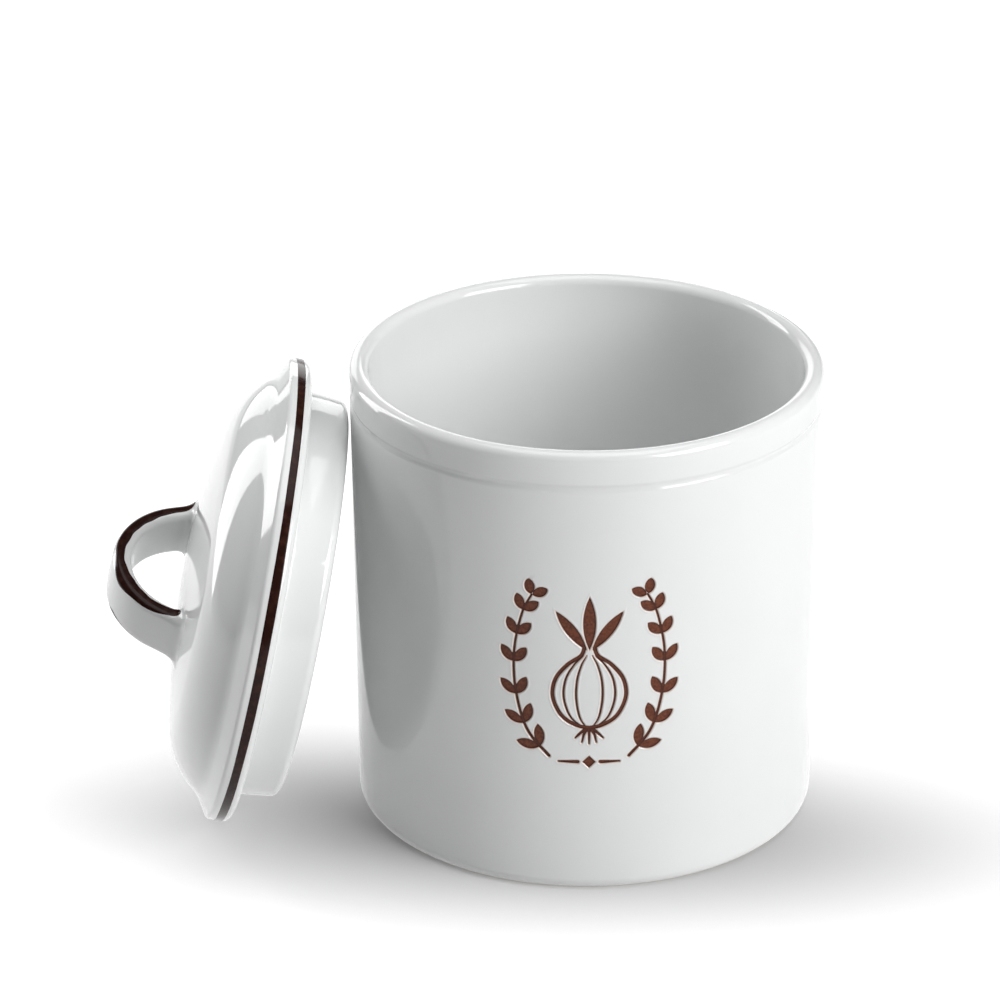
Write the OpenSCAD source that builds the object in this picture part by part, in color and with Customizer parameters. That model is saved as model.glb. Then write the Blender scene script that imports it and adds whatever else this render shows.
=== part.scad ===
// Lidded ceramic storage canister, shown open: the lid is off and leans on the rim band.
// Millimetres, +Z up, origin at the middle of the foot ring's standing face.

/* [Canister] */
// Outer diameter of the rim band
rim_d = 178; // [160:1:210]
// Height from the foot to the top of the lip
canister_h = 178.5; // [165:0.5:230]
// How much the wall narrows from the groove to the bottom, on each side
side_taper = 1.6; // [0:0.1:12]
// Wall thickness, also the thickness of the lip
wall = 7.2; // [5:0.1:9]
// Thickness of the floor
floor_t = 7; // [5:0.5:12]
// Radius of the rounded bottom edge
bottom_r = 5; // [2:0.5:8]
// Radius inside between floor and wall
inside_r = 14; // [4:0.5:25]
// Width of the foot ring's standing face
foot_w = 9; // [5:0.5:20]
// Depth of the hollow inside the foot ring
foot_depth = 1.8; // [0.5:0.1:4]

/* [Rim band] */
// Height of the band from the top of the lip
band_h = 12.4; // [8:0.2:25]
// How far the band stands out from the wall below it
band_step = 0.2; // [0:0.1:1.5]
// Width of the groove under the band
groove_w = 2.6; // [1:0.1:5]
// Depth of the groove
groove_depth = 0.6; // [0.2:0.1:1]

/* [Lid] */
// How far the flange's edge stays inside the rim band, all round
lid_inset = 0; // [0:0.1:3]
// Radius under the flange's edge
flange_under_r = 3; // [2:0.5:5]
// Height of the flange's upright edge
flange_edge_h = 3; // [3:0.1:6]
// Radius on top of the flange's edge
flange_top_r = 3.2; // [2:0.1:4]
// Slope of the flange's top, rising towards the dome, in degrees
flange_slope = 30; // [20:1:34]
// Radius of the cove between flange and dome
cove_r = 7; // [4:0.5:9]
// Height of the dome's top above the seat
crown_h = 33.4; // [30:0.2:40]
// Radius of the dome's crown
crown_r = 320; // [200:1:500]
// Radius of the dome's shoulder
shoulder_r = 36.5; // [30:0.5:44]
// How far the dome's shoulder stays inside the flange's edge
shoulder_in = 1.8; // [0.5:0.1:3]
// Wall thickness of the dome
lid_wall = 6.5; // [5:0.1:9]

/* [Collar] */
// Gap between the collar and the canister's mouth, all round
collar_gap = 4; // [1:0.1:6]
// Depth of the collar below the seat
collar_h = 16.4; // [10:0.2:22]
// Taper of the collar, in degrees
collar_taper = 5; // [0:0.5:8]
// Thickness of the collar at its root
collar_wall = 7.6; // [7:0.1:10]
// Outer radius at the collar's end
collar_end_r = 3.6; // [1.5:0.1:3.8]
// Inner radius at the collar's end
collar_inner_r = 2; // [0.5:0.1:2.2]
// Radius between collar and seat
collar_root_r = 1.5; // [0.5:0.1:3]
// Radius inside between collar and dome
hollow_r = 5; // [2:0.5:8]

/* [Handle] */
// Height of the handle's top above the lid's seat
handle_h = 60.8; // [57:0.2:75]
// Outer radius of the handle's bend
handle_r = 31.5; // [26:0.5:35]
// Lean of each leg outwards, in degrees
handle_flare = 23; // [10:1:35]
// Width of the strap
strap_w = 20; // [14:0.5:30]
// Thickness of the strap
strap_t = 7; // [5:0.1:9]
// Radius of the strap's long edges
strap_edge_r = 2.2; // [1:0.1:2.4]
// Height above the dome's top where the strap starts to thicken
root_rise = 5; // [2:0.1:8]
// How much the strap thickens at its root, on each side
root_flare = 3.2; // [0.5:0.1:6]
// Turn of the handle about the lid's axis, in degrees
handle_turn = 20; // [0:1:90]
// How far the handle sits below the lid's middle as the lid leans
handle_off = 2; // [0:0.1:8]

/* [Painted line] */
// Width of the line round the flange's edge
rim_line_w = 2.8; // [1:0.1:2.9]
// Thickness of the inlaid line
rim_line_t = 0.5; // [0.3:0.1:1]

/* [Lid at rest] */
// Lean of the lid from upright, in degrees
lid_lean = 12.1; // [6:0.1:20]
// Turn of the lid about the canister's axis, in degrees
lid_turn = 3.8; // [-60:0.2:60]
// Turn of the leaning lid about the upright line through its middle, in degrees
lid_face = -2; // [-6:0.2:6]
// Clearance between the lid and the rim band
rest_gap = 0.3; // [0.1:0.1:2]

/* [Hidden] */
$fn = 144;
arc_steps = 12;
edge_steps = 4;
strap_rings = 48;
cut_over = 1;
glaze_white = "#f1f1ef";
line_brown = "#33201d";

// Canister sizes that follow from the ones above
rim_r = rim_d / 2;
body_r = rim_r - band_step;
base_r = body_r - side_taper;
lip_r = wall / 2;
groove_top = canister_h - band_h;
groove_bottom = groove_top - groove_w;
inside_floor = foot_depth + floor_t;
foot_outer = base_r - bottom_r;
foot_inner = foot_outer - foot_w;

// Lid sizes, in the lid's own frame: z = 0 is the seat, +z points to the handle
lid_r = rim_r - lid_inset;
edge_top = flange_under_r + flange_edge_h;
crown_c = [0, crown_h - crown_r];
shoulder_x = lid_r - shoulder_in - shoulder_r;
shoulder_a = asin(shoulder_x / (crown_r - shoulder_r));
shoulder_c = crown_c + (crown_r - shoulder_r) * [sin(shoulder_a), cos(shoulder_a)];
collar_r = rim_r - wall - collar_gap;
collar_in = collar_r - collar_wall;

// Top of the flange: a sloping line that starts where the edge's upper radius ends
slope_normal = [sin(flange_slope), cos(flange_slope)];
slope_run = [-cos(flange_slope), sin(flange_slope)];
edge_c = [lid_r - flange_top_r, edge_top];
slope_start = edge_c + flange_top_r * slope_normal;

// Cove: touches the sloping line and the outside of the shoulder
cove_from = slope_start + cove_r * slope_normal - shoulder_c;
cove_along = cove_from * slope_run;
cove_reach = shoulder_r + cove_r;
cove_s = -cove_along - sqrt(cove_along ^ 2 - cove_from * cove_from + cove_reach ^ 2);
cove_c = shoulder_c + cove_from + cove_s * slope_run;
cove_a = atan2(cove_c[1] - shoulder_c[1], cove_c[0] - shoulder_c[0]);

// Collar: fillet at its root, and the outer radius at its end
root_len = collar_root_r / tan((90 + collar_taper) / 2);
end_z = collar_end_r - collar_h;
end_x = collar_r + (end_z * sin(collar_taper) - collar_end_r) / cos(collar_taper);

// Hollow: its radius touches the collar's bore and the dome's inner shoulder
hollow_x = collar_in - hollow_r;
hollow_reach = shoulder_r - lid_wall - hollow_r;
hollow_a = acos((hollow_x - shoulder_c[0]) / hollow_reach);
hollow_c = shoulder_c + hollow_reach * [cos(hollow_a), sin(hollow_a)];

// Handle: half of the strap's middle line is a bend and a straight leg that sinks into the dome.
// Lengths along it count from the top.
bend_z = handle_h - handle_r;
strap_r = handle_r - strap_t / 2;
leg_angle = 90 - handle_flare;
bend_s = strap_r * leg_angle * PI / 180;
leg_top = bend_z + strap_r * cos(leg_angle);
root_s = bend_s + (leg_top - crown_h - root_rise) / sin(leg_angle);
strap_s = root_s + (root_rise + lid_wall) / sin(leg_angle);

// Lid at rest: the flange's lower radius stands on the ground, the collar's end lies by the band
lid_x = rim_r + rest_gap + end_x * sin(lid_lean) - end_z * cos(lid_lean) + collar_end_r;
lid_z = (lid_r - flange_under_r) * cos(lid_lean) + flange_under_r * (1 - sin(lid_lean));

// Points on an arc from angle a to angle b
function arc(c, r, a, b, steps = arc_steps) = [
    for (i = [0 : steps])
        let (t = a + (b - a) * i / steps)
        c + r * [cos(t), sin(t)]
];

// The dome from its top down to the cove
function dome_line() = concat(
    arc(crown_c, crown_r, 90, 90 - shoulder_a),
    arc(shoulder_c, shoulder_r, 90 - shoulder_a, cove_a)
);

// The dome's inside from the collar's bore to the axis
function hollow_line() = concat(
    arc(hollow_c, hollow_r, 0, hollow_a),
    arc(shoulder_c, shoulder_r - lid_wall, hollow_a, 90 - shoulder_a),
    arc(crown_c, crown_r - lid_wall, 90 - shoulder_a, 90)
);

module canister_body() {
    groove_r = (groove_w ^ 2 / 4 + groove_depth ^ 2) / (2 * groove_depth);
    groove_c = [body_r - groove_depth + groove_r, groove_bottom + groove_w / 2];
    groove_half = asin(groove_w / 2 / groove_r);
    mouth_r = rim_r - wall;
    corner_c = [base_r - wall - inside_r, inside_floor + inside_r];
    color(glaze_white)
    rotate_extrude()
    polygon(concat(
        [[0, foot_depth], [foot_inner - foot_depth, foot_depth], [foot_inner, 0]],
        arc([foot_outer, bottom_r], bottom_r, -90, 0),
        arc(groove_c, groove_r, 180 + groove_half, 180 - groove_half),
        [[rim_r, groove_top]],
        arc([rim_r - lip_r, canister_h - lip_r], lip_r, 0, 180),
        [[mouth_r, groove_bottom]],
        arc(corner_c, inside_r, 0, -90),
        [[0, inside_floor]]
    ));
}

// Puts what is drawn in the lid's own frame where the lid leans
module leaning() {
    rotate([0, 0, lid_turn])
    translate([-lid_x, 0, lid_z])
    rotate([0, lid_lean - 90, lid_face])
    children();
}

module rim_line_ring(extra = 0) {
    rotate_extrude()
    translate([lid_r - rim_line_t, edge_top - (flange_edge_h + rim_line_w) / 2])
    square([rim_line_t + extra, rim_line_w]);
}

module lid_shell() {
    color(glaze_white)
    leaning()
    difference() {
        rotate_extrude()
        polygon(concat(
            dome_line(),
            arc(cove_c, cove_r, cove_a + 180, 270 - flange_slope),
            arc(edge_c, flange_top_r, 90 - flange_slope, 0),
            arc([lid_r - flange_under_r, flange_under_r], flange_under_r, 0, -90),
            arc([collar_r + root_len, -collar_root_r], collar_root_r, 90, 180 - collar_taper),
            arc([end_x, end_z], collar_end_r, -collar_taper, -90),
            arc([collar_in + collar_inner_r, collar_inner_r - collar_h], collar_inner_r, 270, 180),
            hollow_line()
        ));
        rim_line_ring(cut_over);
    }
}

module lid_rim_line() {
    color(line_brown)
    leaning()
    rim_line_ring();
}

// Half of the strap's extra thickness at arc length s from the top: none until the root starts
function root_swell(s) = root_flare * max(0, (abs(s) - root_s) / (strap_s - root_s)) ^ 2;

// The strap's middle line in the arch's plane, [across, up], and the outward normal there
function bend_angle(s) = min(abs(s) / strap_r * 180 / PI, leg_angle);
function strap_normal(s) = [sign(s) * sin(bend_angle(s)), cos(bend_angle(s))];
function strap_point(s) =
    let (down_leg = max(0, abs(s) - bend_s))
    [0, bend_z] + strap_r * strap_normal(s)
    + down_leg * [sign(s) * cos(leg_angle), -sin(leg_angle)];

// One ring of a swept section: u runs across the thickness, v along the width
function strap_ring(section, s) = [
    for (q = section)
        let (across = q[0] + sign(q[0]) * root_swell(s))
        let (p = strap_point(s) + across * strap_normal(s))
        [q[1], p[0], p[1]]
];

// Sweeps a section along the whole strap, from one root to the other
module along_strap(section) {
    n = len(section);
    points = [
        for (i = [0 : strap_rings])
            each strap_ring(section, strap_s * (2 * i / strap_rings - 1))
    ];
    sides = [
        for (i = [0 : strap_rings - 1], j = [0 : n - 1])
            let (k = (j + 1) % n, low = i * n, high = low + n)
            each [[low + j, high + k, low + k], [low + j, high + j, high + k]]
    ];
    first = [for (j = [0 : n - 1]) j];
    last = [for (j = [n - 1 : -1 : 0]) strap_rings * n + j];
    polyhedron(points, concat(sides, [first, last]), convexity = 6);
}

// Turns and places the arch on the lid and cuts its roots to the dome's crown
module on_dome() {
    difference() {
        translate([-handle_off, 0, 0]) rotate([0, 0, -handle_turn]) children();
        translate([0, 0, crown_c[1]]) sphere(crown_r);
    }
}

// The rounded long edge that carries the painted line, on side 1 or -1 of the strap
function strap_edge(side) =
    let (u = strap_t / 2 - strap_edge_r, v = strap_w / 2 - strap_edge_r)
    let (edge = concat(
        arc([u, v], strap_edge_r, 0, 90, edge_steps),
        arc([-u, v], strap_edge_r, 90, 180, edge_steps)
    ))
    [for (q = edge) side * q];

module lid_handle() {
    u = strap_t / 2;
    v = strap_w / 2 - strap_edge_r;
    color(glaze_white)
    leaning()
    on_dome()
    along_strap([[u, -v], [u, v], [-u, v], [-u, -v]]);
}

module handle_upper_line() {
    color(line_brown)
    leaning()
    on_dome()
    along_strap(strap_edge(1));
}

module handle_lower_line() {
    color(line_brown)
    leaning()
    on_dome()
    along_strap(strap_edge(-1));
}

canister_body();
lid_shell();
lid_handle();
lid_rim_line();
handle_upper_line();
handle_lower_line();
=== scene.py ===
import math

import bmesh
import bpy
import numpy as np
from mathutils import Matrix, Vector


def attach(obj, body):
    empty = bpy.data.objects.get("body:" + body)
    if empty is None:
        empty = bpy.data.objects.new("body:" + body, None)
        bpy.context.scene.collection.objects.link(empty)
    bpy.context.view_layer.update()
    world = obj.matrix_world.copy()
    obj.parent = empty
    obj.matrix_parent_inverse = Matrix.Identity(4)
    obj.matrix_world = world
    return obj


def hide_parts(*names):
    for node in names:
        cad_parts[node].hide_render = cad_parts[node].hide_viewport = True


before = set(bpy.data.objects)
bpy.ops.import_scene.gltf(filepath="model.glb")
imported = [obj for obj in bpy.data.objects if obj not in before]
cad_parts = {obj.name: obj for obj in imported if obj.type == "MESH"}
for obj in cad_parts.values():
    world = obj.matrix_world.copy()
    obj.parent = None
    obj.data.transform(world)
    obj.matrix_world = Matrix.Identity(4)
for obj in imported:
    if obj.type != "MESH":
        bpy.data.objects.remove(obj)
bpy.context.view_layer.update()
mm = 0.001
noiseRange = {"From Min": 0.3, "From Max": 0.7}  # where most of a noise texture's values lie
print("frame loaded")


def linear(code):
    parts = [int(code[i:i + 2], 16) / 255 for i in (1, 3, 5)]
    return [p / 12.92 if p <= 0.04045 else ((p + 0.055) / 1.055) ** 2.4 for p in parts] + [1.0]


def addNode(tree, kind, sockets, **settings):
    node = tree.nodes.new(kind)
    for name, value in settings.items():
        setattr(node, name, value)
    for place, value in sockets.items():
        if isinstance(value, bpy.types.NodeSocket):
            tree.links.new(value, node.inputs[place])
        else:
            node.inputs[place].default_value = value
    return node


def startMaterial(name):
    # The new material, its nodes, its shader and the place on the piece that its patterns read
    material = bpy.data.materials.new(name)
    material.use_nodes = True
    tree = material.node_tree
    place = addNode(tree, "ShaderNodeTexCoord", {}).outputs["Object"]
    return material, tree, tree.nodes["Principled BSDF"], place


def arc(centre, radius, start, end, steps):
    turns = np.radians(np.linspace(start, end, steps + 1))
    return [(centre[0] + radius * math.cos(t), centre[1] + radius * math.sin(t)) for t in turns]


def smooth(low, high, value):
    t = np.clip((value - low) / (high - low), 0, 1)
    return t * t * (3 - 2 * t)


def along(points, count):
    # Catmull-Rom curve through the points, as evenly counted samples
    p = np.array([points[0], *points, points[-1]], float)
    out = []
    for t in np.linspace(0, len(points) - 1, count):
        i = min(int(t), len(points) - 2)
        f = t - i
        a, b, c, d = p[i], p[i + 1], p[i + 2], p[i + 3]
        square = 2 * a - 5 * b + 4 * c - d
        cube = 3 * b - a - 3 * c + d
        out.append(0.5 * (2 * b + (c - a) * f + square * f ** 2 + cube * f ** 3))
    return np.array(out)


def startPiece(name, makePrimitive, **sizes):
    bpy.ops.object.select_all(action="DESELECT")
    makePrimitive(**sizes)
    piece = bpy.context.object
    piece.name = name
    piece.data.name = name
    return piece


def pickOnly(piece):
    bpy.ops.object.select_all(action="DESELECT")
    piece.select_set(True)
    bpy.context.view_layer.objects.active = piece


def closeMesh():
    bpy.ops.mesh.select_all(action="SELECT")
    bpy.ops.mesh.remove_doubles(threshold=0.000004)
    bpy.ops.mesh.normals_make_consistent(inside=False)
    bpy.ops.mesh.faces_shade_smooth()
    bpy.ops.object.mode_set(mode="OBJECT")


def spinProfile(name, profile, steps):
    # One vertex is extruded along the profile in the XZ plane, then spun about Z
    piece = startPiece(name, bpy.ops.mesh.primitive_plane_add, size=0.01)
    bpy.ops.object.mode_set(mode="EDIT")
    bpy.ops.mesh.select_mode(type="VERT")
    bpy.ops.mesh.select_all(action="SELECT")
    bpy.ops.mesh.merge(type="CENTER")
    bpy.ops.transform.translate(value=(profile[0][0] * mm, 0, profile[0][1] * mm))
    for (x0, z0), (x1, z1) in zip(profile, profile[1:]):
        bpy.ops.mesh.extrude_vertices_move(
            TRANSFORM_OT_translate={"value": ((x1 - x0) * mm, 0, (z1 - z0) * mm)}
        )
    bpy.ops.mesh.select_all(action="SELECT")
    bpy.ops.mesh.spin(steps=steps, angle=2 * math.pi, center=(0, 0, 0), axis=(0, 0, 1))
    closeMesh()
    return piece


def readPoints(piece):
    flat = np.empty(len(piece.data.vertices) * 3)
    piece.data.vertices.foreach_get("co", flat)
    return flat.reshape(-1, 3) / mm


def writePoints(piece, points):
    piece.data.vertices.foreach_set("co", (points * mm).ravel())
    piece.data.update()


def unevenGlaze(piece, reach, size):
    # Slip casting and a thick glaze never leave a dead even face: a slow swell of a tenth of a millimetre
    swell = bpy.data.textures.new(piece.name + "Swell", "CLOUDS")
    swell.noise_scale = size * mm
    swell.noise_depth = 1
    pickOnly(piece)
    modifier = piece.modifiers.new("swell", "DISPLACE")
    modifier.texture = swell
    modifier.texture_coords = "LOCAL"
    modifier.strength = reach * mm
    modifier.mid_level = 0.5
    bpy.ops.object.modifier_apply(modifier="swell")


# Gloss white glaze on cast stoneware: a clear shine over a white that drifts a little, and where the mesh
# says so the fired-in brown of a stamped motif. Reaches into and out of a mark are in millimetres.
def makeGlaze(name, stamped):
    look = {
        "white": "#f0f1f1", "whiteDeep": "#eaebeb", "driftSize": 46, "peelSize": 1.9, "peelHeight": 0.004,
        "gloss": 0.045, "glossWorn": 0.085, "shine": 0.5, "index": 1.52,
        "brown": "#7c4630", "brownDeep": "#47231a", "mottleSize": 0.9, "mottle": (0.35, 0.62),
        "mottleLeast": 0.35, "edgeShadeReach": (-0.75, -0.1), "edgeShadeClear": 0.85, "markReach": (0.1, -0.1),
        "markGloss": 0.24, "markShine": 0.16, "halo": "#dcae90", "haloReach": (0.5, 0.05), "haloMost": 0.55,
        "lipReach": [(0.05, 0.4), (1.1, 0.45)], "lipHeight": 0.09,
    }
    material, tree, shader, place = startMaterial(name)
    drift = addNode(
        tree, "ShaderNodeTexNoise",
        {"Vector": place, "Scale": 1 / (look["driftSize"] * mm), "Detail": 3.0},
    ).outputs["Fac"]
    base = addNode(
        tree, "ShaderNodeMix",
        {0: drift, 6: linear(look["white"]), 7: linear(look["whiteDeep"])}, data_type="RGBA",
    ).outputs[2]
    rough = addNode(
        tree, "ShaderNodeMapRange",
        {"Value": drift, **noiseRange, "To Min": look["gloss"], "To Max": look["glossWorn"]},
    ).outputs[0]
    peel = addNode(
        tree, "ShaderNodeTexNoise",
        {"Vector": place, "Scale": 1 / (look["peelSize"] * mm), "Detail": 2.0},
    ).outputs["Fac"]
    bump = addNode(
        tree, "ShaderNodeBump", {"Strength": 0.5, "Distance": look["peelHeight"] * mm, "Height": peel},
    ).outputs["Normal"]
    if stamped:
        distance = addNode(tree, "ShaderNodeAttribute", {}, attribute_name="stampDistance").outputs["Fac"]
        # The brown lies in patches, and painted shade darkens it towards the edge of each mark, at the foot
        # of the stamp's wall
        mottle = addNode(
            tree, "ShaderNodeTexNoise",
            {"Vector": place, "Scale": 1 / (look["mottleSize"] * mm), "Detail": 4.0},
        ).outputs["Fac"]
        patch = addNode(
            tree, "ShaderNodeMapRange",
            {
                "Value": mottle, "From Min": look["mottle"][0], "From Max": look["mottle"][1],
                "To Min": look["mottleLeast"], "To Max": 1.0,
            },
        ).outputs[0]
        # Painted shade: how clear a spot is of the dark rim painted round the inside of each mark
        thick = addNode(
            tree, "ShaderNodeMapRange",
            {
                "Value": distance, "From Min": look["edgeShadeReach"][0], "From Max": look["edgeShadeReach"][1],
                "To Min": look["edgeShadeClear"], "To Max": 0.0,
            },
            interpolation_type="SMOOTHSTEP",
        ).outputs[0]
        patch = addNode(tree, "ShaderNodeMath", {0: patch, 1: thick}, operation="MULTIPLY").outputs[0]
        brown = addNode(
            tree, "ShaderNodeMix",
            {0: patch, 6: linear(look["brownDeep"]), 7: linear(look["brown"])}, data_type="RGBA",
        ).outputs[2]
        mark = addNode(
            tree, "ShaderNodeMapRange",
            {
                "Value": distance, "From Min": look["markReach"][0], "From Max": look["markReach"][1],
                "To Min": 0.0, "To Max": 1.0,
            },
            interpolation_type="SMOOTHSTEP",
        ).outputs[0]
        halo = addNode(
            tree, "ShaderNodeMapRange",
            {
                "Value": distance, "From Min": look["haloReach"][0], "From Max": look["haloReach"][1],
                "To Min": 0.0, "To Max": look["haloMost"],
            },
            interpolation_type="SMOOTHSTEP",
        ).outputs[0]
        base = addNode(
            tree, "ShaderNodeMix", {0: halo, 6: base, 7: linear(look["halo"])}, data_type="RGBA",
        ).outputs[2]
        base = addNode(tree, "ShaderNodeMix", {0: mark, 6: base, 7: brown}, data_type="RGBA").outputs[2]
        rough = addNode(
            tree, "ShaderNodeMix", {0: mark, 2: rough, 3: look["markGloss"]}, data_type="FLOAT",
        ).outputs[0]
        shine = addNode(
            tree, "ShaderNodeMix", {0: mark, 2: look["shine"], 3: look["markShine"]}, data_type="FLOAT",
        ).outputs[0]
        tree.links.new(shine, shader.inputs["Specular IOR Level"])
        # The stamp pushes up a fine lip of clay round each mark
        lip = 1.0
        for low, high in look["lipReach"]:
            slope = addNode(
                tree, "ShaderNodeMapRange",
                {"Value": distance, "From Min": low, "From Max": high, "To Min": 0.0, "To Max": 1.0},
                interpolation_type="SMOOTHSTEP",
            ).outputs[0]
            lip = addNode(tree, "ShaderNodeMath", {0: slope, 1: lip}, operation="MULTIPLY").outputs[0]
        bump = addNode(
            tree, "ShaderNodeBump",
            {"Strength": 1.0, "Distance": look["lipHeight"] * mm, "Height": lip, "Normal": bump},
        ).outputs["Normal"]
    tree.links.new(base, shader.inputs["Base Color"])
    tree.links.new(rough, shader.inputs["Roughness"])
    tree.links.new(bump, shader.inputs["Normal"])
    shader.inputs["IOR"].default_value = look["index"]
    return material


# Dark brown glaze line, brushed on before firing: lighter where the brush left it thin
def makeLineGlaze():
    look = {
        "dark": "#2a1613", "thin": "#40261e", "streakSize": 3.2, "streak": (0.45, 0.8),
        "gloss": 0.1, "glossWorn": 0.2, "sheen": 0.13,
    }
    material, tree, shader, place = startMaterial("brushedBrownGlaze")
    streak = addNode(
        tree, "ShaderNodeTexNoise",
        {"Vector": place, "Scale": 1 / (look["streakSize"] * mm), "Detail": 4.0},
    ).outputs["Fac"]
    thin = addNode(
        tree, "ShaderNodeMapRange",
        {
            "Value": streak, "From Min": look["streak"][0], "From Max": look["streak"][1],
            "To Min": 0.0, "To Max": 1.0,
        },
    ).outputs[0]
    base = addNode(
        tree, "ShaderNodeMix", {0: thin, 6: linear(look["dark"]), 7: linear(look["thin"])}, data_type="RGBA",
    ).outputs[2]
    rough = addNode(
        tree, "ShaderNodeMapRange",
        {"Value": streak, **noiseRange, "To Min": look["gloss"], "To Max": look["glossWorn"]},
    ).outputs[0]
    tree.links.new(base, shader.inputs["Base Color"])
    tree.links.new(rough, shader.inputs["Roughness"])
    shader.inputs["Specular IOR Level"].default_value = look["sheen"]
    return material


# Bare fired stoneware on the foot ring, wiped clean of glaze before firing: dull, grainy and a little warm
def makeBareClay():
    look = {"clay": "#d9ccb8", "clayDeep": "#c4b49c", "grainSize": 0.7, "grainHeight": 0.06, "rough": 0.75}
    material, tree, shader, place = startMaterial("bareStoneware")
    grain = addNode(
        tree, "ShaderNodeTexNoise",
        {"Vector": place, "Scale": 1 / (look["grainSize"] * mm), "Detail": 5.0},
    ).outputs["Fac"]
    base = addNode(
        tree, "ShaderNodeMix",
        {0: grain, 6: linear(look["clay"]), 7: linear(look["clayDeep"])}, data_type="RGBA",
    ).outputs[2]
    bump = addNode(
        tree, "ShaderNodeBump", {"Strength": 1.0, "Distance": look["grainHeight"] * mm, "Height": grain},
    ).outputs["Normal"]
    tree.links.new(base, shader.inputs["Base Color"])
    tree.links.new(bump, shader.inputs["Normal"])
    shader.inputs["Roughness"].default_value = look["rough"]
    return material


glaze = makeGlaze("whiteGlaze", False)
stampedGlaze = makeGlaze("whiteGlazeWithStamp", True)
lineGlaze = makeLineGlaze()
bareClay = makeBareClay()
print("materials made")


# Motif: millimetres from points on the unrolled wall to the nearest brown mark, below 0 inside it
def strokeDistance(points, curve, half):
    best = np.full(len(points), 99.0)
    halves = np.broadcast_to(half, len(curve))
    for a, b, ha, hb in zip(curve, curve[1:], halves, halves[1:]):
        run = b - a
        t = np.clip(((points - a) @ run) / max(run @ run, 1e-9), 0, 1)
        gap = np.linalg.norm(points - a - t[:, None] * run, axis=1)
        best = np.minimum(best, gap - (ha + (hb - ha) * t))
    return best


def leafDistance(points, base, tip, half):
    # A leaf is what two equal discs share
    base, tip = np.array(base, float), np.array(tip, float)
    middle, run = (base + tip) / 2, (tip - base)
    long = np.linalg.norm(run) / 2
    side = np.array([-run[1], run[0]]) / (2 * long)
    radius = (long ** 2 + half ** 2) / (2 * half)
    away = side * (radius - half)
    return np.maximum(
        np.linalg.norm(points - middle - away, axis=1), np.linalg.norm(points - middle + away, axis=1)
    ) - radius


def motifDistance(points):
    motif = {
        "bulb": [
            (1.9, 12.5), (3.2, 9.2), (8.2, 5.4), (12.6, -0.6),
            (13.6, -8), (10.4, -15.4), (5, -19.2), (0, -20.4),
        ],
        "bulbHalf": 0.75, "bulbSteps": 60,
        "ribs": (0.36, 0.7), "ribHalf": 0.42, "ribSpan": (8, -5), "ribEnd": 0.15,
        "roots": [(-5.2, -24.6), (-2.7, -26.4), (0, -27), (2.7, -26.4), (5.2, -24.6)],
        "rootBends": [(0.35, -21.2), (0.75, -23.2)], "rootHalf": (0.6, 0.5, 0.3),
        "shoots": [(-12.5, 27, 2.1), (0, 33, 2.4), (12.5, 27, 2.1)], "shootFoot": (0.08, 11.5),
        "stem": [(15, -32.5), (23.5, -22), (27.8, -6), (28.2, 10), (25.2, 25), (21.5, 33)],
        "stemSteps": 50, "stemHalf": (0.6, 0.4), "leaves": 7, "leafSpan": (4, 48), "leafGap": 0.7,
        "leafLong": 9.6, "leafLess": 0.045, "leafHalf": 1.95, "leafOpen": 36,
        "rule": -34.5, "ruleEnds": (4.2, 11.5), "ruleHalf": (0.7, 0.35), "diamond": 2.5,
    }
    marks = []
    outline = along(motif["bulb"], motif["bulbSteps"])
    firstLeaf, lastLeaf = motif["leafSpan"]
    for mirror in (1, -1):
        flip = np.array([mirror, 1])
        marks.append(strokeDistance(points, outline * flip, motif["bulbHalf"]))
        for rib in motif["ribs"]:
            line = outline[slice(*motif["ribSpan"])] * flip * np.array([rib, 1])
            swell = np.sin(np.linspace(motif["ribEnd"], math.pi - motif["ribEnd"], len(line))) ** 0.5
            marks.append(strokeDistance(points, line, motif["ribHalf"] * swell))
        stem = along(motif["stem"], motif["stemSteps"]) * flip
        marks.append(strokeDistance(points, stem, np.linspace(*motif["stemHalf"], len(stem))))
        for k in range(motif["leaves"]):
            spot = int(firstLeaf + (lastLeaf - firstLeaf) * k / (motif["leaves"] - 1))
            way = stem[min(spot + 1, len(stem) - 1)] - stem[spot - 1]
            for side in (1, -1):
                turn = math.atan2(way[1], way[0]) + side * math.radians(motif["leafOpen"])
                heading = np.array([math.cos(turn), math.sin(turn)])
                root = stem[spot] + motif["leafGap"] * heading
                tip = stem[spot] + motif["leafLong"] * (1 - motif["leafLess"] * k) * heading
                marks.append(leafDistance(points, root, tip, motif["leafHalf"]))
        rule = np.array([(x, motif["rule"]) for x in motif["ruleEnds"]]) * flip
        marks.append(strokeDistance(points, rule, np.array(motif["ruleHalf"])))
    for x, y in motif["roots"]:
        line = np.array([(x * share, bendY) for share, bendY in motif["rootBends"]] + [(x, y)])
        marks.append(strokeDistance(points, line, np.array(motif["rootHalf"])))
    share, footY = motif["shootFoot"]
    for x, y, half in motif["shoots"]:
        marks.append(leafDistance(points, (x * share, footY), (x, y), half))
    corner = np.abs(points - np.array([0, motif["rule"]]))
    marks.append((corner.sum(axis=1) - motif["diamond"]) / math.sqrt(2))
    return np.min(marks, axis=0)


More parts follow.
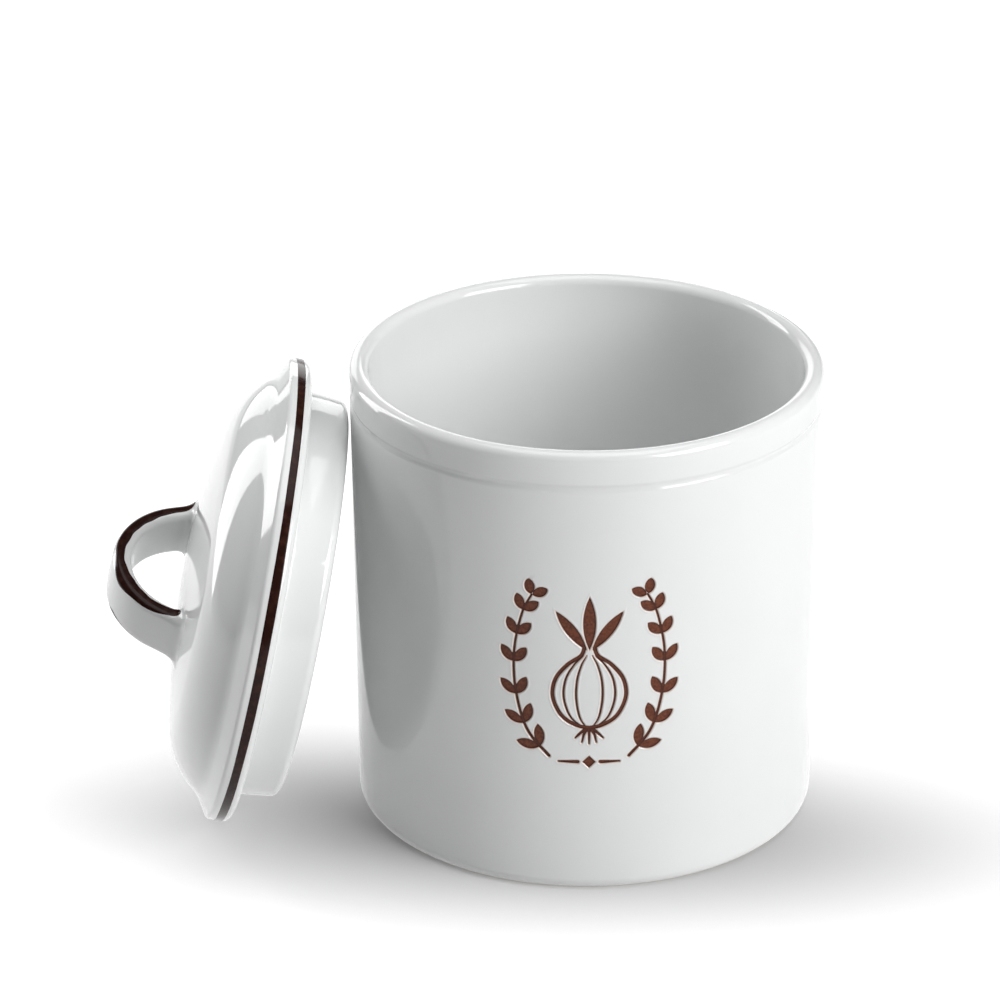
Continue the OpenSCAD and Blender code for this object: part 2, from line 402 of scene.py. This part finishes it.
# The canister: one spun profile, from the underside's middle round the wall and lip to the floor's middle
pot = {
    "rimRadius": 89.0, "height": 178.5, "bodyRadius": 88.8, "baseRadius": 87.2, "wall": 7.2,
    "insideFloor": 8.8, "bottomRadius": 5.0, "insideRadius": 14.0, "footWidth": 9.0, "footDepth": 1.8,
    "footReach": 2.4, "footCurve": [(-1.4, 1.53), (-0.5, 0.35), (0.2, 0.06), (1, 0)],  # at its inner edge
    "grooveMiddle": 164.8, "grooveHalf": 2.1, "grooveDepth": 0.62, "lipRadius": 3.6, "spinSteps": 256,
    "wallRows": [(9, 48, 6.0), (48, 131, 2.0), (136, 161, 5.0), (162, 168.1, 0.25)], "bandRows": (169, 1.5),
    "insideRows": (0.08, 0.3, 0.5, 0.7, 0.9), "underRows": (0, 25, 50), "floorRows": (40, 15, 0),
    "motifMiddle": 88.8, "motifHigh": 40.0, "motifTurn": 25.0, "motifDepth": 0.5, "motifEdge": (0.28, -0.34),
    "motifCuts": 5, "wallInside": 85.0, "swell": 0.1, "swellSize": 50, "bareHigh": 0.9, "bareIn": 2.0,
}


def wallRadius(z):
    rise = (z - pot["bottomRadius"]) / (pot["grooveMiddle"] - pot["bottomRadius"])
    low = pot["baseRadius"] + (pot["bodyRadius"] - pot["baseRadius"]) * rise
    across = (z - pot["grooveMiddle"]) / pot["grooveHalf"]
    dip = pot["grooveDepth"] * (0.5 + 0.5 * np.cos(math.pi * np.clip(across, -1, 1)))
    band = smooth(-1, 1, across)
    return low * (1 - band) + pot["rimRadius"] * band - dip


def potProfile(footInner):
    footOuter = footInner + pot["footWidth"]
    lipZ = pot["height"] - pot["lipRadius"]
    mouth = pot["rimRadius"] - pot["wall"]
    base = pot["baseRadius"] - pot["wall"]
    insideLow = pot["insideFloor"] + pot["insideRadius"]
    bandLow, bandStep = pot["bandRows"]
    profile = [(x, pot["footDepth"]) for x in (*pot["underRows"], footInner - pot["footReach"])]
    profile += [(footInner + x, z) for x, z in pot["footCurve"]]
    profile += arc((footOuter, pot["bottomRadius"]), pot["bottomRadius"], -90, 0, steps=14)
    for start, end, step in (*pot["wallRows"], (bandLow, lipZ, bandStep)):
        profile += [(float(wallRadius(z)), float(z)) for z in np.arange(start, end, step)]
    profile += arc((pot["rimRadius"] - pot["lipRadius"], lipZ), pot["lipRadius"], 0, 180, steps=28)
    profile += [(mouth + (base - mouth) * t, lipZ + (insideLow - lipZ) * t) for t in pot["insideRows"]]
    profile += arc((base - pot["insideRadius"], insideLow), pot["insideRadius"], 0, -90, steps=16)
    return profile + [(x, pot["insideFloor"]) for x in pot["floorRows"]]


def stampMotif(piece):
    # The front of the wall gets a fine grid, and its points sink where the stamp was pressed
    bpy.ops.object.mode_set(mode="EDIT")
    bpy.ops.mesh.select_mode(type="FACE")
    bpy.ops.mesh.select_all(action="DESELECT")
    sheet = bmesh.from_edit_mesh(piece.data)
    for face in sheet.faces:
        spot = face.calc_center_median() / mm
        turned = abs(math.degrees(math.atan2(spot.x, -spot.y))) < pot["motifTurn"]
        level = abs(spot.z - pot["motifMiddle"]) < pot["motifHigh"]
        face.select_set(turned and level and math.hypot(spot.x, spot.y) > pot["wallInside"])
    bmesh.update_edit_mesh(piece.data)
    bpy.ops.mesh.subdivide(number_cuts=pot["motifCuts"])
    bpy.ops.object.mode_set(mode="OBJECT")

    points = readPoints(piece)
    radius = np.hypot(points[:, 0], points[:, 1])
    level = np.abs(points[:, 2] - pot["motifMiddle"]) < pot["motifHigh"] + 2
    wall = (radius > pot["wallInside"]) & level
    turn = np.arctan2(points[:, 0], -points[:, 1])
    flat = np.stack([turn * pot["bodyRadius"], points[:, 2] - pot["motifMiddle"]], axis=1)
    near = wall & (np.abs(np.degrees(turn)) < pot["motifTurn"] + 1)
    distance = np.full(len(points), 9.0)
    distance[near] = motifDistance(flat[near])
    stamped = wallRadius(points[:, 2]) - pot["motifDepth"] * smooth(*pot["motifEdge"], distance)
    points[:, :2] *= np.where(wall, stamped / np.maximum(radius, 1), 1)[:, None]
    writePoints(piece, points)
    piece.data.attributes.new("stampDistance", "FLOAT", "POINT").data.foreach_set("value", distance)


def buildPot():
    footInner = pot["baseRadius"] - pot["bottomRadius"] - pot["footWidth"]
    piece = spinProfile("canister", potProfile(footInner), pot["spinSteps"])
    stampMotif(piece)
    unevenGlaze(piece, pot["swell"], pot["swellSize"])
    # The foot ring's standing face is bare clay
    piece.data.materials.append(stampedGlaze)
    piece.data.materials.append(bareClay)
    for face in piece.data.polygons:
        spot = face.center / mm
        onRing = math.hypot(spot.x, spot.y) > footInner - pot["bareIn"]
        face.material_index = int(spot.z < pot["bareHigh"] and onRing)
    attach(piece, "canister")
    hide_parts("canister_body")


buildPot()
print("canister built")

# The lid in its own frame: z = 0 is the seat, +z points to the handle
lid = {
    "radius": 89.0, "underRadius": 3.0, "edgeHigh": 4.4, "topRadius": 2.0, "slope": 30.0, "coveRadius": 14.0,
    "crownHigh": 33.4, "crownRadius": 320.0, "shoulderRadius": 36.5, "shoulderIn": 1.8, "wall": 6.5,
    "collarRadius": 77.8, "collarHigh": 16.4, "collarTaper": 5.0, "collarWall": 7.6, "endRadius": 3.6,
    "innerRadius": 2.0, "rootRadius": 1.5, "hollowRadius": 5.0, "seatIn": 4.0, "boreRows": (-4.0, 6.0),
    "collarRows": [(-0.35, -5.2), (-0.66, -8.2)], "spinSteps": 288, "swell": 0.09, "swellSize": 45,
    "lean": 12.1, "turn": 3.8, "face": -2.0, "rimGap": 0.3,
}
crownMiddle = np.array([0, lid["crownHigh"] - lid["crownRadius"]])
taper = math.radians(lid["collarTaper"])
endZ = lid["endRadius"] - lid["collarHigh"]
endX = lid["collarRadius"] + (endZ * math.sin(taper) - lid["endRadius"]) / math.cos(taper)

# It stands on its edge, and the round end of its collar leans on the canister's rim
lean = math.radians(lid["lean"])
collarReach = endX * math.sin(lean) - endZ * math.cos(lean) + lid["endRadius"]
lidAway = pot["rimRadius"] + lid["rimGap"] + collarReach
lidUp = (lid["radius"] - lid["underRadius"]) * math.cos(lean) + lid["underRadius"] * (1 - math.sin(lean))
leaning = (
    Matrix.Rotation(math.radians(lid["turn"]), 4, "Z")
    @ Matrix.Translation((-lidAway * mm, 0, lidUp * mm))
    @ Matrix.Rotation(math.radians(lid["face"]), 4, "Z")
    @ Matrix.Rotation(math.radians(lid["lean"] - 90), 4, "Y")
)


def seatPiece(piece, placing, node):
    piece.matrix_world = placing
    pickOnly(piece)
    bpy.ops.object.transform_apply(location=True, rotation=True, scale=True)
    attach(piece, "lid")
    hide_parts(node)


def lidProfile():
    far = lid["crownRadius"] - lid["shoulderRadius"]
    bend = math.asin((lid["radius"] - lid["shoulderIn"] - lid["shoulderRadius"]) / far)
    shoulder = crownMiddle + far * np.array([math.sin(bend), math.cos(bend)])
    bend = math.degrees(bend)
    slope = math.radians(lid["slope"])
    normal = np.array([math.sin(slope), math.cos(slope)])
    run = np.array([-math.cos(slope), math.sin(slope)])
    edge = np.array([lid["radius"] - lid["topRadius"], lid["underRadius"] + lid["edgeHigh"]])
    under = (lid["radius"] - lid["underRadius"], lid["underRadius"])
    # The cove's middle lies on a line beside the flange's slope, where its arc meets the shoulder's
    start = edge + (lid["topRadius"] + lid["coveRadius"]) * normal - shoulder
    reach = lid["shoulderRadius"] + lid["coveRadius"]
    back = start @ run + math.sqrt((start @ run) ** 2 - start @ start + reach ** 2)
    cove = shoulder + start - back * run
    coveTurn = math.degrees(math.atan2(*(cove - shoulder)[::-1]))
    root = (
        lid["collarRadius"] + lid["rootRadius"] / math.tan((math.pi / 2 + taper) / 2), -lid["rootRadius"],
    )
    bore = lid["collarRadius"] - lid["collarWall"]
    inner = (bore + lid["innerRadius"], lid["innerRadius"] - lid["collarHigh"])
    innerShoulder = lid["shoulderRadius"] - lid["wall"]
    hollowReach = innerShoulder - lid["hollowRadius"]
    hollowTurn = math.acos((bore - lid["hollowRadius"] - shoulder[0]) / hollowReach)
    hollow = shoulder + hollowReach * np.array([math.cos(hollowTurn), math.sin(hollowTurn)])
    hollowTurn = math.degrees(hollowTurn)
    profile = arc(crownMiddle, lid["crownRadius"], 90, 90 - bend, steps=26)
    profile += arc(shoulder, lid["shoulderRadius"], 90 - bend, coveTurn, steps=40)[1:]
    profile += arc(cove, lid["coveRadius"], coveTurn + 180, 270 - lid["slope"], steps=14)
    profile += arc(edge, lid["topRadius"], 90 - lid["slope"], 0, steps=10)
    profile += arc(under, lid["underRadius"], 0, -90, steps=16)
    profile += [(lid["collarRadius"] + lid["seatIn"], 0)]
    profile += arc(root, lid["rootRadius"], 90, 180 - lid["collarTaper"], steps=8)
    profile += [(lid["collarRadius"] + x, z) for x, z in lid["collarRows"]]
    profile += arc((endX, endZ), lid["endRadius"], -lid["collarTaper"], -90, steps=14)
    profile += arc(inner, lid["innerRadius"], 270, 180, steps=8)
    profile += [(bore, z) for z in lid["boreRows"]]
    profile += arc(hollow, lid["hollowRadius"], 0, hollowTurn, steps=8)
    profile += arc(shoulder, innerShoulder, hollowTurn, 90 - bend, steps=16)[1:]
    return profile + arc(crownMiddle, lid["crownRadius"] - lid["wall"], 90 - bend, 90, steps=14)[1:]


def buildLidShell():
    piece = spinProfile("lidShell", lidProfile(), lid["spinSteps"])
    unevenGlaze(piece, lid["swell"], lid["swellSize"])
    piece.data.materials.append(glaze)
    seatPiece(piece, leaning, "lid_shell")


def buildRimLine():
    # A bead of brown glaze round the flange's edge, whose two borders wander as the brush did
    line = {"low": 3.05, "high": 5.92, "proud": 0.14, "sunk": 0.3, "spill": 0.65, "wander": 0.07}
    border = [(-line["sunk"], 0), (0.02, 0.02), (line["proud"] - 0.04, 0.16), (line["proud"], 0.4)]
    middle = (line["low"] + line["high"]) / 2
    profile = [(lid["radius"] + x, line["low"] + z) for x, z in border]
    profile += [(lid["radius"] + line["proud"], middle)]
    profile += [(lid["radius"] + x, line["high"] - z) for x, z in border[::-1]]
    piece = spinProfile("rimLine", profile + profile[:1], lid["spinSteps"])
    points = readPoints(piece)
    turn = np.arctan2(points[:, 1], points[:, 0])
    side = np.sign(points[:, 2] - middle)
    wave = np.sin(5 * turn + side) + 0.7 * np.sin(11 * turn + 2 * side)
    points[:, 2] -= line["spill"] * np.sin(turn) ** 2 * (side < 0)
    points[:, 2] += line["wander"] * wave * np.abs(side)
    writePoints(piece, points)
    piece.data.materials.append(lineGlaze)
    seatPiece(piece, leaning, "lid_rim_line")


buildLidShell()
buildRimLine()
print("lid built")

# The strap handle: a rounded section swept along a bend and two straight legs, spreading onto the dome.
# In the arch's own frame x runs along the strap's width, y across the lid and z up.
handle = {
    "high": 60.8, "bendRadius": 31.5, "flare": 23.0, "wide": 20.0, "thick": 7.0, "edgeRadius": 2.5,
    "crown": 0.3, "turn": 20.0, "off": 2.0, "spread": 4.2, "rise": 6.0, "footIn": 0.6, "sunk": 0.4,
    "rings": 72, "rootRings": 9, "sideRows": 13,
}
bendZ = handle["high"] - handle["bendRadius"]
strapRadius = handle["bendRadius"] - handle["thick"] / 2
legTurn = math.radians(90 - handle["flare"])
bendLong = strapRadius * legTurn
legWay = np.array([math.cos(legTurn), -math.sin(legTurn)])
offTurn = math.radians(handle["turn"])
domeMiddle = np.array(
    [handle["off"] * math.cos(offTurn), handle["off"] * math.sin(offTurn), crownMiddle[1]]
)
archPlace = (
    leaning @ Matrix.Translation((-handle["off"] * mm, 0, 0)) @ Matrix.Rotation(-offTurn, 4, "Z")
)


def strapSection():
    # Points round the section as (across the thickness, along the width), from the middle of the +x edge
    a, b, r = handle["thick"] / 2, handle["wide"] / 2, handle["edgeRadius"]
    half = [(0.0, b), (r - a, b)] + arc((r - a, b - r), r, 90, 180, steps=9)[1:]
    half += [(-a, v) for v in np.linspace(b - r, r - b, handle["sideRows"])[1:-1]]
    half += arc((r - a, r - b), r, 180, 270, steps=9) + [(0.0, -b)]
    ring = np.array(half + [(-u, v) for u, v in half[-2:0:-1]])
    ring[:, 0] += np.sign(ring[:, 0]) * handle["crown"] * (1 - (ring[:, 1] / b) ** 2)
    return ring


def sectionOutward(section):
    ahead = np.roll(section, -1, axis=0) - np.roll(section, 1, axis=0)
    outward = np.stack([ahead[:, 1], -ahead[:, 0]], axis=1)
    outward *= np.sign((outward * section).sum(axis=1))[:, None]
    return outward / np.linalg.norm(outward, axis=1)[:, None]


def strapSpot(s, u, v):
    # s is the length along the strap's middle line from its top, u and v the place in the section
    turn = np.minimum(np.abs(s) / strapRadius, legTurn)
    down = np.maximum(0, np.abs(s) - bendLong)
    side = np.where(s < 0, -1.0, 1.0)
    reach = strapRadius + u
    return np.stack([
        v + 0 * s,
        side * (reach * np.sin(turn) + down * legWay[0]),
        bendZ + reach * np.cos(turn) + down * legWay[1],
    ], axis=-1)


def onDome(points, lift):
    away = points - domeMiddle
    return domeMiddle + away * ((lid["crownRadius"] + lift) / np.linalg.norm(away, axis=-1))[..., None]


def domeLength(side, u, v):
    # Length along one leg at which the section's point meets the dome
    lengths = np.linspace(bendLong - 5, bendLong + 30, 1400)
    spots = strapSpot(side * lengths[None, :], u[:, None], v[:, None])
    high = np.linalg.norm(spots - domeMiddle, axis=-1) - lid["crownRadius"]
    return lengths[np.argmin(np.abs(high), axis=1)]


def legRoot(side, u, v, outward):
    # The last stretch of a leg turns outward, from the strap through a corner to its spread foot on the dome
    start = domeLength(side, u, v) - handle["rise"]
    top = strapSpot(side * start, u, v)
    corner = strapSpot(side * (start + handle["rise"]), u, v)
    legNormal = np.array([0, side * math.sin(legTurn), math.cos(legTurn)])
    legOut = outward[:, :1] * legNormal + outward[:, 1:] * np.array([1.0, 0, 0])
    domeNormal = (corner - domeMiddle) / lid["crownRadius"]
    spreadWay = legOut - (legOut * domeNormal).sum(axis=1, keepdims=True) * domeNormal
    spreadWay /= np.linalg.norm(spreadWay, axis=1, keepdims=True)
    foot = onDome(corner + handle["spread"] * spreadWay, 0)
    return {
        "start": start, "bend": (top, corner, foot),
        "spreadWay": spreadWay, "legOut": legOut, "domeNormal": domeNormal,
    }


def bendSpot(bend, t):
    return (1 - t) ** 2 * bend[0] + 2 * t * (1 - t) * bend[1] + t ** 2 * bend[2]


def handleRings():
    # From the near foot over the arch to the far foot, each ring with the section's own points
    section = strapSection()
    u, v = section.T
    ends = []
    for side in (-1, 1):
        root = legRoot(side, u, v, sectionOutward(section))
        rings = [bendSpot(root["bend"], t) for t in np.linspace(0, 1, handle["rootRings"] + 1)]
        rings.append(onDome(root["bend"][2] + handle["footIn"] * root["spreadWay"], -handle["sunk"]))
        ends.append((root["start"], rings))
    (nearStart, nearRings), (farStart, farRings) = ends
    steps = np.linspace(0, 1, handle["rings"] + 1)[1:-1]
    arch = [strapSpot(farStart * t - nearStart * (1 - t), u, v) for t in steps]
    return nearRings[::-1] + arch + farRings


def buildHandle():
    rings = handleRings()
    piece = startPiece(
        "lidHandle", bpy.ops.mesh.primitive_circle_add, vertices=len(rings[0]), fill_type="NOTHING"
    )
    writePoints(piece, rings[0])
    bpy.ops.object.mode_set(mode="EDIT")
    bpy.ops.mesh.select_mode(type="VERT")
    bpy.ops.mesh.select_all(action="SELECT")
    for last, ring in zip(rings, rings[1:]):
        bpy.ops.mesh.extrude_region_move()
        sheet = bmesh.from_edit_mesh(piece.data)
        for vertex in sheet.verts:
            if vertex.select:
                spot = np.array(vertex.co) / mm
                vertex.co = Vector(ring[np.argmin(np.linalg.norm(last - spot, axis=1))]) * mm
        bmesh.update_edit_mesh(piece.data)
    closeMesh()
    piece.data.materials.append(glaze)
    seatPiece(piece, archPlace, "lid_handle")


def buildHandleLine(name, side, node):
    # A bead of brown glaze over one long edge: blunt at the near root, drawn out to a point at the far one.
    # Each station is the place along the strap, then the bead's inner and outer limits round the section.
    line = {
        "stations": [
            (-41, 2.2, -0.4), (-36, 2.3, -2.3), (-30, 1.8, -3.7), (-21, 1.8, -4.4), (-14, 1.9, -5.6),
            (-9, 1.6, -4.4), (-4, 0.9, -3.0), (1, 0.6, -3.2), (8, 1.3, -3.6), (20, 1.5, -4.0),
            (28, 1.4, -4.0), (36, 1.0, -3.8), (41, 0.0, -3.6), (43, -1.8, -3.5),
        ],
        "samples": 400, "steps": 200, "across": 18,
        "blunt": 1.6, "proud": 0.12, "sunk": 0.14, "rootLong": 10.0,
    }
    section = strapSection()
    closed = np.vstack([section, section[:1]])
    lengths = np.concatenate([[0], np.cumsum(np.linalg.norm(np.diff(closed, axis=0), axis=1))])
    piece = startPiece(
        name, bpy.ops.mesh.primitive_grid_add,
        x_subdivisions=line["across"], y_subdivisions=line["steps"], size=2,
    )
    across, ahead, _ = (readPoints(piece) * mm).T
    curve = along(line["stations"], line["samples"])
    s = curve[0, 0] + (ahead + 1) / 2 * (curve[-1, 0] - curve[0, 0])
    inner, outer = (np.interp(s, curve[:, 0], curve[:, k]) for k in (1, 2))
    brush = 0.14 * np.sin(s * 0.31 + side) + 0.1 * np.sin(s * 0.83 + 1.7)  # the hand's slow and quick waver
    bluntness = np.sqrt(np.clip((s - curve[0, 0]) / line["blunt"] + 0.02, 0, 1))
    half = ((inner - outer) / 2 + brush * 0.5) * bluntness
    place = ((inner + outer) / 2 + 0.6 * brush + across * half) % lengths[-1]
    u, v = (np.interp(place, lengths, closed[:, k]) for k in (0, 1))
    lift = line["proud"] * (1 - np.abs(across) ** 5) - line["sunk"] * np.abs(across) ** 12
    normals = sectionOutward(section)
    normals = np.vstack([normals, normals[:1]])
    outward = np.stack([np.interp(place, lengths, normals[:, k]) for k in (0, 1)], axis=1)
    points = strapSpot(s, u + lift * outward[:, 0], side * (v + lift * outward[:, 1]))
    # Low on each leg the bead follows the root as it turns out onto the dome
    for leg in (-1, 1):
        low = np.flatnonzero(leg * s > bendLong)
        root = legRoot(leg, u[low], side * v[low], outward[low] * np.array([1, side]))
        t = np.maximum((leg * s[low] - root["start"]) / line["rootLong"], 0)[:, None]
        away = root["legOut"] * (1 - t) + root["domeNormal"] * t
        points[low] = np.where(t > 0, bendSpot(root["bend"], t) + lift[low, None] * away, points[low])
    writePoints(piece, points)
    bpy.ops.object.mode_set(mode="EDIT")
    closeMesh()
    piece.data.materials.append(lineGlaze)
    seatPiece(piece, archPlace, node)


buildHandle()
buildHandleLine("handleUpperLine", 1, "handle_upper_line")
buildHandleLine("handleLowerLine", -1, "handle_lower_line")
print("handle built")

# A white table top that fills the picture, and soft studio light: a key from the right, a tall strip behind
# the lid on the left, a low panel at the back and a box overhead. Each lamp has its place, what it points at,
# its width and height in metres, and its power.
studio = {
    "floorSize": 12.0, "floorColour": "#d9d9d9", "seenColour": "#aaaaaa", "boardRough": 0.9,
    "seenGlow": 0.8, "farGlow": 0.25, "farFrom": 1.0, "farTo": 5.0, "mirrorGlow": 0.6, "world": 0.03,
    "shadeMiddle": (-0.011, -0.04), "shadeHalf": (0.2655, 0.1058), "shadeTurn": -4.6,
    "lamps": [
        ("keyBox", (1.19, -0.97, 0.83), (-0.04, 0, 0.09), 1.0, 0.9, 22.5),
        ("tallStrip", (-1.138, 0.688, 0.775), (-0.125, 0, 0.775), 0.467, 1.55, 13.4),
        ("backPanel", (-0.345, 1.5, 0.485), (-0.1, 0, 0.485), 1.29, 0.63, 5.4),
        ("overhead", (0, 0, 1.7), (0, 0, 0), 1.3, 1.3, 12.2),
    ],
}


# Matt white board. What the camera sees of it is a darker board lifted to white, save for a soft oval of
# painted shade round the object on top of the lamps' own shadow, and reflections see it lifted all over.
def makeFloor():
    material, tree, shader, place = startMaterial("mattWhiteBoard")
    # Painted shade: inside this oval the camera's lift to white is held back
    oval = addNode(
        tree, "ShaderNodeMapping",
        {
            "Vector": place, "Location": (*studio["shadeMiddle"], 0), "Scale": (*studio["shadeHalf"], 1),
            "Rotation": (0, 0, math.radians(studio["shadeTurn"])),
        },
        vector_type="TEXTURE",
    ).outputs[0]
    away = addNode(tree, "ShaderNodeVectorMath", {0: oval}, operation="LENGTH").outputs["Value"]
    near = addNode(
        tree, "ShaderNodeMapRange",
        {"Value": away, "From Min": 0.0, "From Max": 1.0, "To Min": 0.0, "To Max": studio["seenGlow"]},
        interpolation_type="SMOOTHSTEP",
    ).outputs[0]
    far = addNode(
        tree, "ShaderNodeMapRange",
        {
            "Value": away, "From Min": studio["farFrom"], "From Max": studio["farTo"],
            "To Min": 0.0, "To Max": studio["farGlow"],
        },
    ).outputs[0]
    seen = addNode(tree, "ShaderNodeMath", {0: near, 1: far}, operation="ADD").outputs[0]
    rays = addNode(tree, "ShaderNodeLightPath", {}).outputs
    # The camera sees a darker board than the light bouncing off it does, which deepens the painted shade
    board = addNode(
        tree, "ShaderNodeMix",
        {0: rays["Is Camera Ray"], 6: linear(studio["floorColour"]), 7: linear(studio["seenColour"])},
        data_type="RGBA",
    ).outputs[2]
    mirrored = addNode(
        tree, "ShaderNodeMath", {0: rays["Is Glossy Ray"], 1: rays["Is Transmission Ray"]},
        operation="MAXIMUM",
    ).outputs[0]
    mirrored = addNode(
        tree, "ShaderNodeMath", {0: mirrored, 1: studio["mirrorGlow"]}, operation="MULTIPLY",
    ).outputs[0]
    glow = addNode(
        tree, "ShaderNodeMath", {0: seen, 1: rays["Is Camera Ray"], 2: mirrored}, operation="MULTIPLY_ADD",
    ).outputs[0]
    tree.links.new(board, shader.inputs["Base Color"])
    tree.links.new(glow, shader.inputs["Emission Strength"])
    shader.inputs["Emission Color"].default_value = (1, 1, 1, 1)
    shader.inputs["Roughness"].default_value = studio["boardRough"]
    shader.inputs["Specular IOR Level"].default_value = 0.0
    return material


def buildStudio():
    floor = startPiece("tableTop", bpy.ops.mesh.primitive_plane_add, size=studio["floorSize"])
    floor.data.materials.append(makeFloor())
    for name, spot, aim, wide, high, power in studio["lamps"]:
        lamp = bpy.data.lights.new(name, "AREA")
        lamp.shape = "RECTANGLE"
        lamp.size, lamp.size_y, lamp.energy = wide, high, power
        holder = bpy.data.objects.new(name, lamp)
        holder.location = spot
        holder.rotation_euler = (Vector(aim) - Vector(spot)).to_track_quat("-Z", "Y").to_euler()
        bpy.context.collection.objects.link(holder)
    world = bpy.data.worlds.new("studio")
    bpy.context.scene.world = world
    world.use_nodes = True
    tree = world.node_tree
    rays = addNode(tree, "ShaderNodeLightPath", {}).outputs["Is Camera Ray"]
    level = addNode(
        tree, "ShaderNodeMapRange", {"Value": rays, "To Min": studio["world"], "To Max": 1.0},
    ).outputs[0]
    background = tree.nodes["Background"]
    background.inputs["Color"].default_value = (1, 1, 1, 1)
    tree.links.new(level, background.inputs["Strength"])


def buildCamera():
    shot = {
        "spot": (-32.453, -1729.5, 907.2), "down": 24.457, "roll": -0.1786,
        "lens": 180.55, "sensor": 36, "farthest": 50,
    }
    lens = bpy.data.cameras.new("camera")
    lens.lens, lens.sensor_width, lens.clip_end = shot["lens"], shot["sensor"], shot["farthest"]
    holder = bpy.data.objects.new("camera", lens)
    holder.matrix_world = (
        Matrix.Translation(Vector(shot["spot"]) * mm)
        @ Matrix.Rotation(math.radians(90 - shot["down"]), 4, "X")
        @ Matrix.Rotation(math.radians(shot["roll"]), 4, "Z")
    )
    bpy.context.collection.objects.link(holder)
    bpy.context.scene.camera = holder


buildStudio()
buildCamera()
bpy.context.scene.view_settings.view_transform = "Standard"
print("studio ready")
